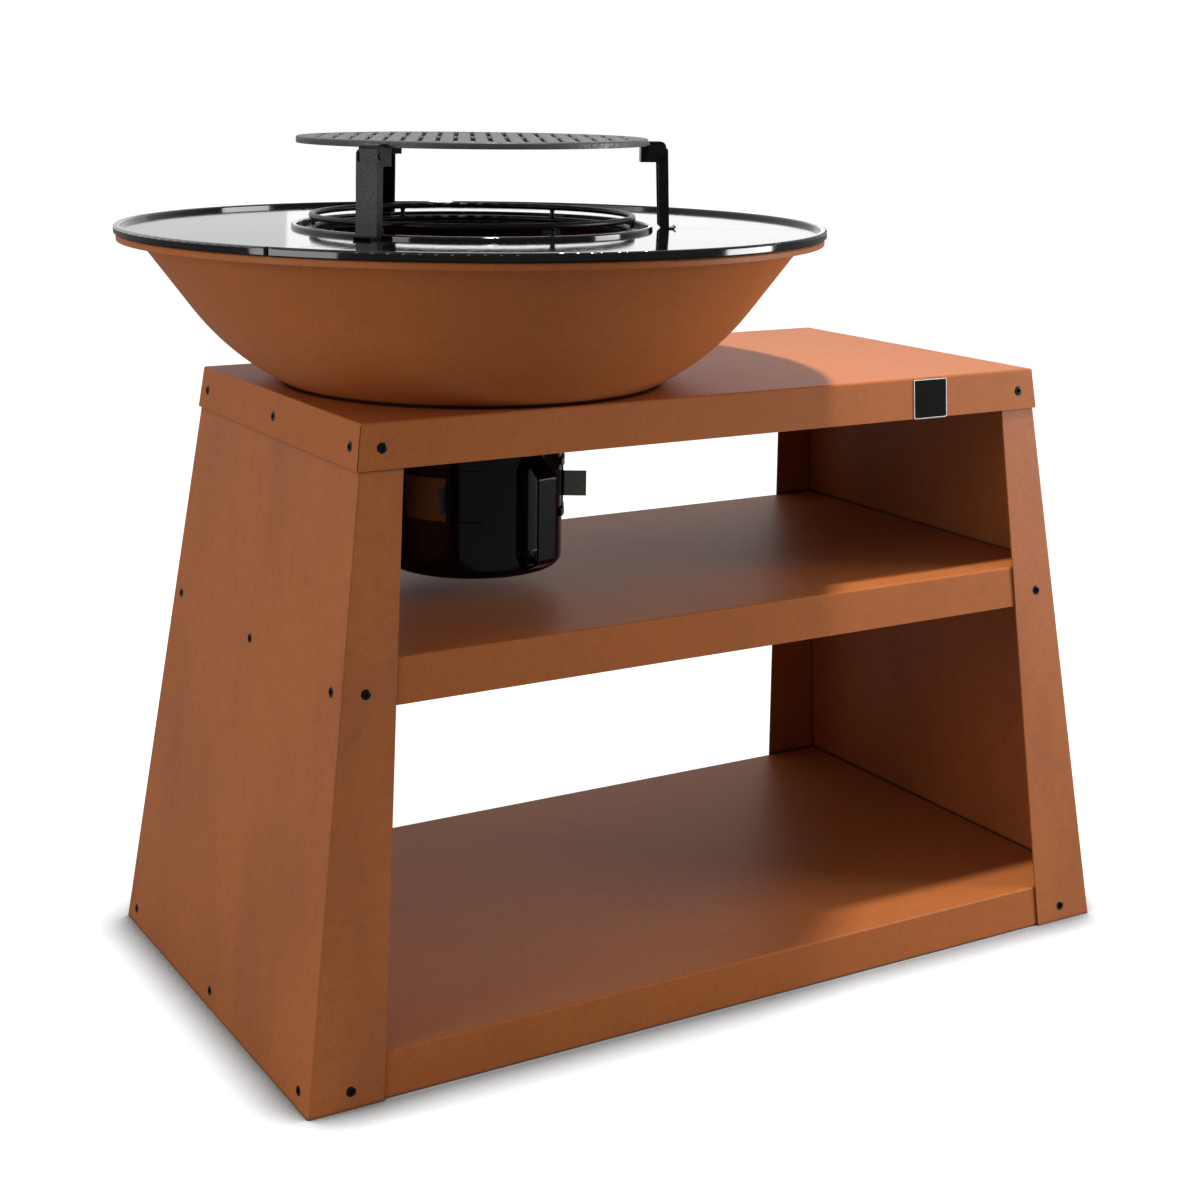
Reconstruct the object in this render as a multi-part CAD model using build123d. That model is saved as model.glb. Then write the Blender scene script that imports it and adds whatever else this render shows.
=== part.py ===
from build123d import *
import os
from math import atan2, cos, floor, radians, sin, sqrt

# Fire-bowl griddle on a folded sheet-steel stand.
# Millimetres, +Z up. The origin is on the floor, in the middle of the whole part's plan.
# The stand's pieces are drawn about the stand's own centre, and the fire bowl's about its axis.

# Stand
stand_height = 716.0
cap_length = 900.0
cap_depth = 450.0
cap_flange = 48.0
foot_length = 1108.8
foot_depth = 593.0
leg_foot_width = 88.2
leg_top_width = 48.1
sheet = 2.0
fit_gap = 0.3
fold_radius = 1.0
seam_gap = 0.8
middle_shelf_drop = 243.0
middle_shelf_flange = 50.0
bottom_shelf_height = 53.0
bottom_shelf_flange = 51.0

# Button-head screws that hold the stand: how far under each tray's top they sit, and how far in
# from the leg's corner on the side face and on the leg face
screw_radius = 3.0
screw_length = 12.0
head_radius = 6.0
head_crown_radius = 4.0
head_height = 3.3
hole_clearance = 0.3
nut_width = 10.0
nut_height = 5.0
thread_clearance = 0.1
cap_screws = (26.0, 19.9, 23.6)
middle_shelf_screws = (33.0, 24.2, 28.5)
bottom_shelf_screws = (33.0, 28.5, 48.0)

# Fire bowl
bowl_offset = 205.8
bowl_height = 170.0
bowl_sheet = 2.5
bowl_floor_radius = 210.0
bowl_foot_radius = 10.0
bowl_foot_angle = 26.0
bowl_dish_radius = 285.0
bowl_wall_angle = 53.5
bowl_rim_radius = 397.5
bowl_rim_bend = 4.0
bowl_lip = 5.0

# Griddle ring of three segments
griddle_radius = 400.0
griddle_hole_radius = 199.0
griddle_plate = 3.0
outer_lip_width = 8.0
outer_lip_height = 5.0
inner_lip_width = 6.0
inner_lip_height = 4.5
lip_round = 2.4
segment_count = 3
segment_gap = 1.0
segment_notch = 2.5
seam_azimuth = -27.4

# Support ring under the segments' inner edges, its ledge under the guard
support_sheet = 2.5
support_lap = 15.0
support_step_angle = 45.0
ledge_drop = 2.8
ledge_spare = 3.0
ledge_reach = 4.0
support_bend = 1.0
support_leg_width = 25.0
support_leg_inset = 2.0
support_foot = 20.0

# Wire fire guard
guard_inset = 17.5
guard_wire_radius = 3.5
guard_height = 15.0
guard_post_radius = 2.6
guard_post_count = 6
guard_post_azimuth = -29.8

# Raised grate, its corner shoes and its legs
grate_inset = 1.5
grate_height = 100.0
grate_plate_sheet = 3.0
grate_rim = 7.2
grate_rim_width = 3.0
slot_pitch = 19.0
slot_width = 9.0
slot_spine = 16.0
slot_margin = 14.0
shoe_width = 22.4
shoe_under = 8.2
shoe_beyond = 20.1
shoe_height = 22.7
shoe_lap = 3.9
shoe_wall = 2.0
shoe_round = 6.0
leg_sheet = 1.6
leg_side_gap = 0.2
leg_web_gap = 2.5
leg_web_lean = 0.039
leg_flange = 11.6
leg_web_drop = 21.0
leg_ear_drop = 9.0
leg_ear_chamfer = 3.0
leg_heel_chamfer = 4.0
toe_width = 22.0
toe_length = 4.8
toe_bend = 3.2
toe_curl = 70.0
toe_tip = 1.0
leg_pin_radius = 2.5
leg_pin_setback = 6.5
leg_pin_drop = 6.0
rivet_head = 1.5
rivet_flare = 1.7
rivet_clearance = 0.1

# Charcoal grate on the bowl's floor
fire_grate_radius = 150.0
fire_grate_clear = 22.0
fire_bar_width = 4.0
fire_bar_height = 12.0
fire_bar_pitch = 23.0
fire_foot_count = 4

# Ash chute, ash grid and the bolts that clamp them
chute_radius = 80.0
chute_sheet = 1.5
chute_clear = 2.0
chute_bend = 1.0
ash_grid_lap = 20.0
ash_grid_sheet = 3.0
ash_slot_count = 12
ash_slot_length = 42.0
ash_slot_width = 9.0
ash_slot_margin = 12.0
bowl_bolt_length = 16.0
bowl_bolt_inset = 19.5
bowl_bolt_y = 55.0
bowl_bolt_margin = 3.0

# Ash bucket
bucket_radius = 105.5
bucket_sheet = 1.2
bucket_drop = 52.8
bucket_height = 163.2
bucket_rim_width = 10.0
bucket_corner = 11.0
bucket_rim_bend = 1.5

# Rails that the bucket's rim hangs on
rail_sheet = 2.0
rail_bend = 3.0
rail_gap = 3.0
rail_ledge_gap = 2.0
rail_front = 150.0
rail_rear = 122.0
rail_top_flange = 35.0
rail_stop_height = 20.0

# D-handle
handle_azimuth = -77.8
handle_width = 25.0
handle_sheet = 3.0
handle_finger_gap = 24.4
handle_drop = 7.2
handle_lift = 9.5
handle_foot = 15.0
handle_upper_angle = 49.3
handle_lower_angle = 63.8
handle_bend = 5.0
handle_hem = 2.0
handle_rivet_radius = 2.0
handle_rivet_spread = 6.5

# Vent shutters, each at the same angle to one side of the handle
shutter_sheet = 1.2
shutter_angle = 57.2
shutter_sweep = 28.0
shutter_lift = 64.0
shutter_height = 58.0
tab_reach = 28.5
tab_bend = 1.5
tab_rise = 15.0
tab_height = 30.0
shutter_travel = 24.0
right_shutter_open = 9.4
vent_margin = 5.0
vent_sweep = 19.0
guide_sheet = 1.2
guide_lap = 4.0
guide_foot = 5.0
guide_spare = 1.5

# Worked out from the sizes above
side_lean = ((foot_length - cap_length) / 2 + sheet + fit_gap) / stand_height
end_lean = ((foot_depth - cap_depth) / 2 + sheet + fit_gap) / stand_height
side_across = sqrt(1 + side_lean**2)
end_across = sqrt(1 + end_lean**2)
panel_top = stand_height - sheet - fit_gap
leg_taper = (leg_foot_width - leg_top_width) / stand_height
middle_shelf_height = stand_height - middle_shelf_drop
stand_x = (bowl_offset + griddle_radius - foot_length / 2) / 2
bowl_x = stand_x - bowl_offset
floor_top = stand_height + bowl_sheet
griddle_bottom = stand_height + bowl_height
griddle_top = griddle_bottom + griddle_plate
guard_radius = griddle_hole_radius - guard_inset
support_ledge_radius = guard_radius - guard_wire_radius - ledge_reach
support_step_radius = guard_radius + guard_wire_radius + ledge_spare
support_outer_radius = griddle_hole_radius + support_lap
support_leg_radius = griddle_hole_radius - support_leg_inset
grate_radius = griddle_hole_radius - grate_inset
grate_top = griddle_top + grate_height
grate_rim_bottom = grate_top - grate_rim
shoe_inner_radius = grate_radius - shoe_under
shoe_outer_radius = grate_radius + shoe_beyond
leg_web_top_radius = shoe_outer_radius + leg_web_gap
leg_web_top = grate_top - leg_web_drop
leg_ear_top = grate_top - leg_ear_drop
bucket_rim_top = stand_height - bucket_drop
bucket_bottom = bucket_rim_top - bucket_height
bucket_rim_radius = bucket_radius + bucket_rim_width
rail_web_radius = bucket_rim_radius + rail_gap
bowl_bolt_x = rail_web_radius + rail_sheet - bowl_bolt_inset
chute_top = floor_top + chute_sheet
chute_flange_radius = sqrt(bowl_bolt_x**2 + bowl_bolt_y**2) + head_radius + bowl_bolt_margin
ash_grid_radius = chute_radius + ash_grid_lap
ash_slot_radius = chute_radius - ash_slot_margin - ash_slot_length / 2
rail_ledge = bucket_rim_top - bucket_sheet - fit_gap
handle_top = bucket_rim_top - handle_drop
handle_bottom = bucket_bottom + handle_lift
handle_seat = sqrt(bucket_radius**2 - (handle_width / 2) ** 2)
shutter_bottom = bucket_bottom + shutter_lift
shutter_top = shutter_bottom + shutter_height
tab_bottom = shutter_bottom + tab_rise
tab_top = tab_bottom + tab_height
overcut = 5.0


def normal(angle):
    return Vector(-sin(radians(angle)), cos(radians(angle)))


def sheet_section(start, heading, runs, thickness):
    """Section of a bent sheet. The path follows one face and the thickness lies to its left.

    Each run is (length, turn, radius): a straight length, then a bend of that radius.
    """
    near, far = [], []
    point, angle = Vector(*start), heading
    first = [point, point + normal(angle) * thickness]
    for length, turn, radius in runs:
        if length > 0:
            ahead = point + normal(angle - 90) * length
            step = normal(angle) * thickness
            near.append(Line(point, ahead))
            far.append(Line(point + step, ahead + step))
            point = ahead
        if turn:
            hand = 1 if turn > 0 else -1
            centre = point + normal(angle) * radius * hand
            angles = [angle, angle + turn / 2, angle + turn]
            inside = [centre - normal(each) * radius * hand for each in angles]
            outside = [spot + normal(each) * thickness for spot, each in zip(inside, angles)]
            near.append(ThreePointArc(*inside))
            far.append(ThreePointArc(*outside))
            point, angle = inside[2], angle + turn
    last = [point, point + normal(angle) * thickness]
    return make_face(near + far + [Line(*first), Line(*last)])


def spun(section):
    """Solid of revolution about the vertical axis from a (radius, height) section."""
    return revolve(Plane.XZ * section, axis=Axis.Z)


def radial(azimuth):
    """Vertical plane through the axis: x is the radius towards the azimuth, y is the height."""
    direction = normal(azimuth - 90)
    return Plane((0, 0, 0), x_dir=direction, z_dir=-normal(azimuth))


def across(azimuth, section, width):
    return extrude(radial(azimuth) * section, amount=width / 2, both=True)


def seam_azimuths():
    return [seam_azimuth + index * 360 / segment_count for index in range(segment_count)]


# Stand


def half_length(z):
    return foot_length / 2 - side_lean * z


def half_depth(z):
    return foot_depth / 2 - end_lean * z


def prism(plane, half_width, low, high):
    """Long prism across a vertical plane, with a half width that changes with the height."""
    points = [(half_width(low), low), (half_width(high), high)]
    points += [(-x, z) for x, z in reversed(points)]
    return extrude(plane * make_face(Polyline(*points, close=True)), foot_length, both=True)


def stand_block(low, high, inset, corner=0.0):
    """Tapered block between two heights, inside the stand's outer faces by the inset."""
    block = prism(Plane.XZ, lambda z: half_length(z) - inset * side_across, low, high)
    block &= prism(Plane.YZ, lambda z: half_depth(z) - inset * end_across, low, high)
    if corner:
        upright = [edge for edge in block.edges() if edge.bounding_box().size.Z > sheet]
        block = fillet(upright, corner)
    return block


def side_plane(hand, y, z):
    return Plane((hand * half_length(z), y, z), x_dir=(0, 1, 0), z_dir=(hand, 0, side_lean))


def leg_plane(hand, x, z):
    return Plane((x, hand * half_depth(z), z), x_dir=(1, 0, 0), z_dir=(0, hand, end_lean))


def screw_planes(top, places):
    """Planes on the stand's outer faces at one level's ten screws, z axes outwards."""
    drop, side_inset, leg_inset = places
    z = top - drop
    y = half_depth(z) - side_inset
    x = half_length(z) - leg_inset
    planes = [side_plane(hand, place, z) for hand in (-1, 1) for place in (-y, 0, y)]
    return planes + [leg_plane(hand, place, z) for hand in (-1, 1) for place in (-x, x)]


def screw_levels():
    return (
        (stand_height, cap_screws),
        (middle_shelf_height, middle_shelf_screws),
        (bottom_shelf_height, bottom_shelf_screws),
    )


def screw_holes(levels):
    hole = Cylinder(screw_radius + hole_clearance, 2 * screw_length)
    return [plane.location * hole for top, places in levels for plane in screw_planes(top, places)]


def screw(length):
    """Button-head screw, its seat at z = 0 and its shank downwards."""
    up, down = ((Align.CENTER, Align.CENTER, end) for end in (Align.MIN, Align.MAX))
    head = Cone(head_radius, head_crown_radius, head_height, align=up)
    return head + Cylinder(screw_radius, length, align=down)


def nut():
    """Hexagon nut, its seat at z = 0 and its body downwards."""
    section = RegularPolygon(nut_width / 2, 6, major_radius=False)
    section -= Circle(screw_radius + thread_clearance)
    return extrude(section, -nut_height)


def screw_set(top, places, seat):
    solid = Pos(0, 0, seat) * screw(screw_length)
    return Compound([plane.location * solid for plane in screw_planes(top, places)])


def nut_set(top, places, seat):
    solid = Pos(0, 0, seat) * nut()
    return Compound([plane.location * solid for plane in screw_planes(top, places)])


def tray(top, flange, inset):
    """Folded tray with leaning flanges that meet at open mitred seams."""
    block = stand_block(top - flange, top, inset)
    hollow = stand_block(top - flange - overcut, top - sheet, inset + sheet)
    block = fillet(block.edges().group_by(Axis.Z)[-1], sheet + fold_radius)
    hollow = fillet(hollow.edges().group_by(Axis.Z)[-1], fold_radius)
    body = block - hollow
    for x_hand in (-1, 1):
        for y_hand in (-1, 1):
            ends = []
            for z in (top - flange - overcut, top - sheet - fold_radius):
                x = x_hand * (half_length(z) - (inset + sheet / 2) * side_across)
                y = y_hand * (half_depth(z) - (inset + sheet / 2) * end_across)
                slot = Rot(0, 0, 45 * x_hand * y_hand) * Rectangle(4 * sheet, seam_gap)
                ends.append(Pos(x, y, z) * slot)
            body -= loft(ends, ruled=True)
    return body


def top_panel():
    body = tray(stand_height, cap_flange, -(sheet + fit_gap))
    body -= screw_holes([(stand_height, cap_screws)])
    opening = Cylinder(chute_radius + chute_clear, 4 * sheet)
    body -= Pos(-bowl_offset, 0, stand_height) * opening
    return body - [Pos(-bowl_offset, 0, 0) * hole for hole in bowl_bolt_holes()]


def shelf(top, flange, places):
    return tray(top, flange, sheet + fit_gap) - screw_holes([(top, places)])


def side_panel(hand):
    """Tapered panel with the front and rear legs folded round from it."""
    low, high = -overcut, panel_top + overcut
    shell = stand_block(0, panel_top, 0, sheet + fold_radius)
    shell -= stand_block(low, high, sheet, fold_radius)
    points = [(half_length(z) - leg_foot_width + leg_taper * z, z) for z in (low, high)]
    points += [(-foot_length, high), (-foot_length, low)]
    outline = make_face(Polyline(*[(hand * x, z) for x, z in points], close=True))
    shell -= extrude(Plane.XZ * outline, foot_depth, both=True)
    return shell - screw_holes(screw_levels())


# Fire bowl


def bowl_bolt_places():
    return [(x, y) for x in (-bowl_bolt_x, bowl_bolt_x) for y in (-bowl_bolt_y, bowl_bolt_y)]


def bowl_bolt_holes():
    hole = Cylinder(screw_radius + hole_clearance, 2 * bowl_bolt_length)
    return [Pos(x, y, stand_height) * hole for x, y in bowl_bolt_places()]


def fire_bowl():
    """Flat floor, a tight foot bend, a wide dish bend, a straight wall and a flanged rim."""
    foot, wall = radians(bowl_foot_angle), radians(bowl_wall_angle)
    dish_rise = bowl_dish_radius * (cos(foot) - cos(wall))
    bend_rise = bowl_foot_radius * (1 - cos(foot)) + bowl_rim_bend * (1 - cos(wall))
    wall_length = (bowl_height - bowl_sheet - bend_rise - dish_rise) / sin(wall)
    dish_reach = bowl_dish_radius * (sin(wall) - sin(foot)) + bowl_foot_radius * sin(foot)
    wall_top = bowl_floor_radius + dish_reach + wall_length * cos(wall)
    rim_start = wall_top + bowl_rim_bend * sin(wall)
    hole_radius = chute_radius + chute_clear
    runs = (
        (bowl_floor_radius - hole_radius, bowl_foot_angle, bowl_foot_radius),
        (0, bowl_wall_angle - bowl_foot_angle, bowl_dish_radius),
        (wall_length, -bowl_wall_angle, bowl_rim_bend),
        (bowl_rim_radius - bowl_sheet - fold_radius - rim_start, -90, fold_radius),
        (bowl_lip, 0, 0),
    )
    section = sheet_section((hole_radius, stand_height), 0, runs, bowl_sheet)
    return spun(section) - bowl_bolt_holes()


def griddle_ring():
    top = griddle_top
    inner, outer = griddle_hole_radius, griddle_radius
    outline = Polyline(
        (inner, griddle_bottom),
        (outer, griddle_bottom),
        (outer, top + outer_lip_height),
        (outer - outer_lip_width, top + outer_lip_height),
        (outer - outer_lip_width, top),
        (inner + inner_lip_width, top),
        (inner + inner_lip_width, top + inner_lip_height),
        (inner, top + inner_lip_height),
        close=True,
    )
    section = make_face(outline)
    crests = [point for point in section.vertices() if point.Y > top + overcut / 2]
    return spun(fillet(crests, lip_round))


def griddle_segments():
    """Ring cut along the seams, with a notch in both lips at each seam."""
    half = segment_gap / 2
    flare = half + segment_notch + overcut
    inner, outer = griddle_hole_radius, griddle_radius
    edge = [
        (inner - overcut, flare),
        (inner + segment_notch, half),
        (outer - segment_notch, half),
        (outer + overcut, flare),
    ]
    outline = edge + [(x, -y) for x, y in reversed(edge)]
    height = griddle_plate + outer_lip_height + 2 * overcut
    saw = extrude(make_face(Polyline(*outline, close=True)), height)
    saws = [Pos(0, 0, griddle_bottom - overcut) * Rot(0, 0, turn) * saw for turn in seam_azimuths()]
    solids = (griddle_ring() - saws).solids()
    return sorted(solids, key=lambda solid: atan2(solid.center().Y, solid.center().X))


def griddle_support():
    """Stepped ring on three legs: the outer step carries the segments, the ledge the guard."""
    ledge_bottom = griddle_bottom - ledge_drop - support_sheet
    step = radians(support_step_angle)
    bends = 2 * support_bend + support_sheet
    slope = (ledge_drop - bends * (1 - cos(step))) / sin(step)
    reach = support_step_radius + bends * sin(step) + slope * cos(step)
    runs = (
        (support_step_radius - support_ledge_radius, support_step_angle, support_bend + support_sheet),
        (slope, -support_step_angle, support_bend),
        (support_outer_radius - reach, 0, 0),
    )
    body = spun(sheet_section((support_ledge_radius, ledge_bottom), 0, runs, support_sheet))
    bend = support_bend + support_sheet
    leg_runs = (
        (support_foot, 90, bend),
        (griddle_bottom - floor_top - bend - support_sheet / 2, 0, 0),
    )
    start = (support_leg_radius - bend - support_foot, floor_top)
    leg = sheet_section(start, 0, leg_runs, support_sheet)
    for azimuth in seam_azimuths():
        body += across(azimuth + 180 / segment_count, leg, support_leg_width)
    return body


def guard_ring(level):
    """Wire ring of the fire guard, the lower at level 0 and the upper at level 1."""
    middle = griddle_bottom - ledge_drop + fit_gap + guard_wire_radius
    return spun(Pos(guard_radius, middle + level * guard_height) * Circle(guard_wire_radius))


def guard_posts():
    """Short posts between the rings, their ends shaped to the wires."""
    middle = griddle_bottom - ledge_drop + fit_gap + guard_wire_radius + guard_height / 2
    post = Pos(guard_radius, 0, middle) * Cylinder(guard_post_radius, guard_height)
    post -= [guard_ring(0), guard_ring(1)]
    turns = [guard_post_azimuth + index * 360 / guard_post_count for index in range(guard_post_count)]
    return Compound([Rot(0, 0, turn) * post for turn in turns])


# Raised grate


def grate_plate():
    """Slotted disc with a down-turned rim and a solid spine across the slots."""
    low = Pos(0, 0, grate_rim_bottom)
    plate = low * Cylinder(grate_radius, grate_rim, align=(Align.CENTER, Align.CENTER, Align.MIN))
    plate = chamfer(plate.edges().group_by(Axis.Z)[-1], grate_plate_sheet / 2)
    hollow = Cylinder(grate_radius - grate_rim_width, 2 * (grate_rim - grate_plate_sheet))
    plate -= low * hollow
    reach = grate_radius - slot_margin
    last = floor((reach - slot_width) / slot_pitch)
    slots = []
    for index in range(-last, last + 1):
        offset = index * slot_pitch
        length = sqrt(reach**2 - offset**2) - slot_spine / 2
        if length > 2 * slot_width:
            slot = Rot(0, 0, 90) * SlotOverall(length, slot_width)
            middle = (slot_spine + length) / 2
            slots += [Pos(offset, side * middle) * slot for side in (-1, 1)]
    cut = extrude(Sketch() + slots, 2 * grate_rim)
    return plate - Pos(0, 0, grate_rim_bottom) * Rot(0, 0, seam_azimuth) * cut


def shoe_outline(wall):
    """Side of a corner shoe, inside its outer faces by the wall."""
    top = grate_rim_bottom + shoe_lap - wall
    low = top + wall - shoe_height - (overcut if wall else 0)
    step = grate_radius + rivet_flare + wall
    inner, outer = shoe_inner_radius + wall, shoe_outer_radius - wall
    seat = grate_rim_bottom - wall
    points = ((inner, low), (outer, low), (outer, top), (step, top), (step, seat), (inner, seat))
    return make_face(Polyline(*points, close=True))


def grate_shoe(azimuth):
    """Folded shoe, open below, with a step that the grate's rim sits on."""
    outline = shoe_outline(0)
    corner = outline.vertices().sort_by(lambda point: point.X + point.Y)[-1]
    body = across(azimuth, fillet(corner, shoe_round), shoe_width)
    body -= across(azimuth, shoe_outline(shoe_wall), shoe_width - 2 * shoe_wall)
    return body - leg_pin(azimuth, rivet_clearance)


def leg_web_radius(z):
    """Outer face of a leg's web, which leans outwards as it goes down."""
    return leg_web_top_radius + leg_web_lean * (leg_web_top - z)


def leg_width():
    return shoe_width + 2 * (leg_side_gap + leg_sheet)


def leg_pin(azimuth, spare=0.0):
    """Headed pin across a leg's ears and its shoe, or the hole for its shank."""
    plane = radial(azimuth)
    plane.origin = plane.from_local_coords(
        (leg_web_radius(leg_ear_top) - leg_pin_setback, leg_ear_top - leg_pin_drop, 0)
    )
    reach = leg_width() + 2 * rivet_head
    if spare:
        return plane.location * Cylinder(leg_pin_radius + spare, reach)
    pin = Cylinder(leg_pin_radius, reach)
    for hand in (-1, 1):
        head = Cylinder(leg_pin_radius + rivet_flare, rivet_head)
        pin += Pos(0, 0, hand * (leg_width() + rivet_head) / 2) * head
    return plane.location * pin


def grate_leg(azimuth):
    """Channel leg lapped outside its shoe, with a turned-out toe that curls up at its tip."""
    low, top = griddle_top, leg_ear_top
    outline = make_face(
        Polyline(
            (leg_web_radius(low), low),
            (leg_web_radius(top - leg_ear_chamfer), top - leg_ear_chamfer),
            (leg_web_radius(top) - leg_ear_chamfer, top),
            (leg_web_radius(top) - leg_flange + leg_ear_chamfer, top),
            (leg_web_radius(top) - leg_flange, top - leg_ear_chamfer),
            (leg_web_radius(low) - leg_flange, low + leg_heel_chamfer),
            (leg_web_radius(low) - leg_flange + leg_heel_chamfer, low),
            close=True,
        )
    )
    body = across(azimuth, outline, leg_width())
    inner = shoe_inner_radius
    channel = make_face(
        Polyline(
            (inner, low - overcut),
            (leg_web_radius(low - overcut) - leg_sheet, low - overcut),
            (leg_web_radius(leg_web_top) - leg_sheet, leg_web_top),
            (leg_web_radius(leg_web_top) + overcut, leg_web_top),
            (leg_web_radius(leg_web_top) + overcut, top + overcut),
            (inner, top + overcut),
            close=True,
        )
    )
    body -= across(azimuth, channel, leg_width() - 2 * leg_sheet)
    toe_runs = ((leg_sheet + toe_length, toe_curl, toe_bend), (toe_tip, 0, 0))
    toe = sheet_section((leg_web_radius(low) - leg_sheet, low), 0, toe_runs, leg_sheet)
    return body + across(azimuth, toe, toe_width) - leg_pin(azimuth, rivet_clearance)


def grate_pins():
    return Compound([leg_pin(azimuth) for azimuth in seam_azimuths()])


# Inside the fire bowl


def fire_grate():
    """Hoop with cross bars, standing on short feet."""
    bottom = Pos(0, 0, floor_top + fire_grate_clear)
    up = (Align.CENTER, Align.CENTER, Align.MIN)
    inner = fire_grate_radius - fire_bar_width
    body = bottom * Cylinder(fire_grate_radius, fire_bar_height, align=up)
    body -= bottom * Cylinder(inner, 3 * fire_bar_height)
    last = floor((inner - fire_bar_width) / fire_bar_pitch)
    for index in range(-last, last + 1):
        offset = index * fire_bar_pitch
        length = 2 * sqrt((fire_grate_radius - fire_bar_width / 2) ** 2 - offset**2)
        body += bottom * Pos(offset) * Box(fire_bar_width, length, fire_bar_height, align=up)
    foot = Box(fire_bar_width, fire_bar_height, fire_grate_clear, align=up)
    for index in range(fire_foot_count):
        turn = Rot(0, 0, (index + 0.5) * 360 / fire_foot_count)
        body += Pos(0, 0, floor_top) * turn * Pos(fire_grate_radius - fire_bar_width / 2) * foot
    return body


def ash_chute():
    """Flanged tube that drops the ash from the bowl's floor into the bucket."""
    bottom = bucket_rim_top + chute_clear + chute_sheet
    runs = (
        (floor_top - bottom - chute_bend, -90, chute_bend),
        (chute_flange_radius - chute_radius - chute_bend, 0, 0),
    )
    return spun(sheet_section((chute_radius, bottom), 90, runs, chute_sheet)) - bowl_bolt_holes()


def ash_grid():
    """Slotted disc that keeps the embers in the bowl."""
    slot = Pos(ash_slot_radius) * SlotOverall(ash_slot_length, ash_slot_width)
    slots = [Rot(0, 0, index * 360 / ash_slot_count) * slot for index in range(ash_slot_count)]
    return Pos(0, 0, chute_top) * extrude(Circle(ash_grid_radius) - slots, ash_grid_sheet)


def bowl_bolts():
    solid = Pos(0, 0, chute_top) * screw(bowl_bolt_length)
    return Compound([Pos(x, y) * solid for x, y in bowl_bolt_places()])


def bowl_nuts():
    solid = Pos(0, 0, stand_height - sheet - rail_sheet) * nut()
    return Compound([Pos(x, y) * solid for x, y in bowl_bolt_places()])


def bucket_rail(hand):
    """Folded channel under the top panel, with a ledge for the bucket's rim."""
    outer = rail_web_radius + rail_sheet
    ledge = outer - rail_bend - bucket_radius - rail_ledge_gap
    bottom = rail_ledge - rail_sheet
    runs = (
        (ledge, 90, rail_bend),
        (stand_height - sheet - bottom - 2 * rail_bend, 90, rail_bend),
        (rail_top_flange - rail_bend, 0, 0),
    )
    section = sheet_section((bucket_radius + rail_ledge_gap, bottom), 0, runs, rail_sheet)
    rail = extrude(Plane.XZ * section, rail_front + rail_rear)
    rail = Pos(0, rail_rear, 0) * rail
    if hand < 0:
        rail = mirror(rail, Plane.YZ)
    return rail - bowl_bolt_holes()


def bucket_stop():
    """Bar between the rails that the bucket's rim stops against."""
    fold = rail_bend - rail_sheet
    points = [(rail_web_radius, rail_ledge + rail_stop_height), (rail_web_radius, rail_ledge + fold)]
    points.append((rail_web_radius - fold, rail_ledge))
    outline = points + [(-x, z) for x, z in reversed(points)]
    bar = extrude(Plane.XZ * make_face(Polyline(*outline, close=True)), rail_sheet)
    return Pos(0, bucket_rim_radius + fit_gap + rail_sheet, 0) * bar


# Ash bucket


def turned(azimuth, solid):
    return Rot(0, 0, azimuth) * solid


def arc_band(low, high, bottom, top, start, end):
    """Part of a tube between two radii, two heights and two azimuths."""
    section = make_face(Polyline((low, bottom), (high, bottom), (high, top), (low, top), close=True))
    return revolve(radial(start) * section, axis=Axis.Z, revolution_arc=end - start)


def shutter_tab(hand):
    return handle_azimuth + hand * shutter_angle


def ash_bucket():
    straight = bucket_rim_top - bucket_sheet - bucket_bottom - bucket_corner - bucket_rim_bend
    runs = (
        (bucket_radius - bucket_corner, 90, bucket_corner),
        (straight, -90, bucket_rim_bend),
        (bucket_rim_width - bucket_rim_bend, 0, 0),
    )
    body = spun(sheet_section((0, bucket_bottom), 0, runs, bucket_sheet))
    body -= handle_rivet_holes()
    middle = (shutter_bottom + shutter_top) / 2
    half = (shutter_top - shutter_bottom) / 2 - 2 * vent_margin
    for hand in (-1, 1):
        near = shutter_tab(hand) + hand * vent_margin
        ends = sorted((near, near + hand * vent_sweep))
        low, high = bucket_radius - 2 * bucket_sheet, bucket_radius + bucket_sheet
        body -= arc_band(low, high, middle - half, middle + half, *ends)
    return body


def bucket_handle():
    """Strap bent to a D, with both feet shaped to the bucket's wall."""
    upper, lower = radians(handle_upper_angle), radians(handle_lower_angle)
    upper_arm = (handle_finger_gap - 2 * handle_bend * (1 - cos(upper))) / sin(upper)
    inward = handle_finger_gap - handle_sheet
    bends = handle_bend * (1 - cos(lower)) + handle_hem * (1 + cos(lower))
    lower_arm = (inward - bends) / sin(lower)
    upper_drop = handle_foot + 2 * handle_bend * sin(upper) + upper_arm * cos(upper)
    lower_drop = handle_bend * sin(lower) + lower_arm * cos(lower)
    hem_drop = handle_sheet + handle_hem * (1 - sin(lower))
    grip = handle_top - handle_bottom - upper_drop - lower_drop - hem_drop
    runs = (
        (handle_foot, handle_upper_angle, handle_bend),
        (upper_arm, -handle_upper_angle, handle_bend),
        (grip, -handle_lower_angle, handle_bend),
        (lower_arm, handle_lower_angle - 180, handle_hem),
        (handle_foot, 0, 0),
    )
    section = sheet_section((handle_seat, handle_top), -90, runs, handle_sheet)
    body = across(handle_azimuth, section, handle_width)
    return body - Cylinder(bucket_radius, 3 * handle_top) - handle_rivet_holes()


def handle_rivet_places():
    """Local planes of the four rivets, z axes along the handle's radius."""
    heights = (
        handle_top - handle_foot / 2,
        handle_bottom + handle_sheet + handle_hem + handle_foot / 2,
    )
    direction, side = normal(handle_azimuth - 90), normal(handle_azimuth)
    planes = []
    for z in heights:
        for hand in (-1, 1):
            origin = side * hand * handle_rivet_spread + Vector(0, 0, z)
            planes.append(Plane(origin, x_dir=side, z_dir=direction))
    return planes


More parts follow.
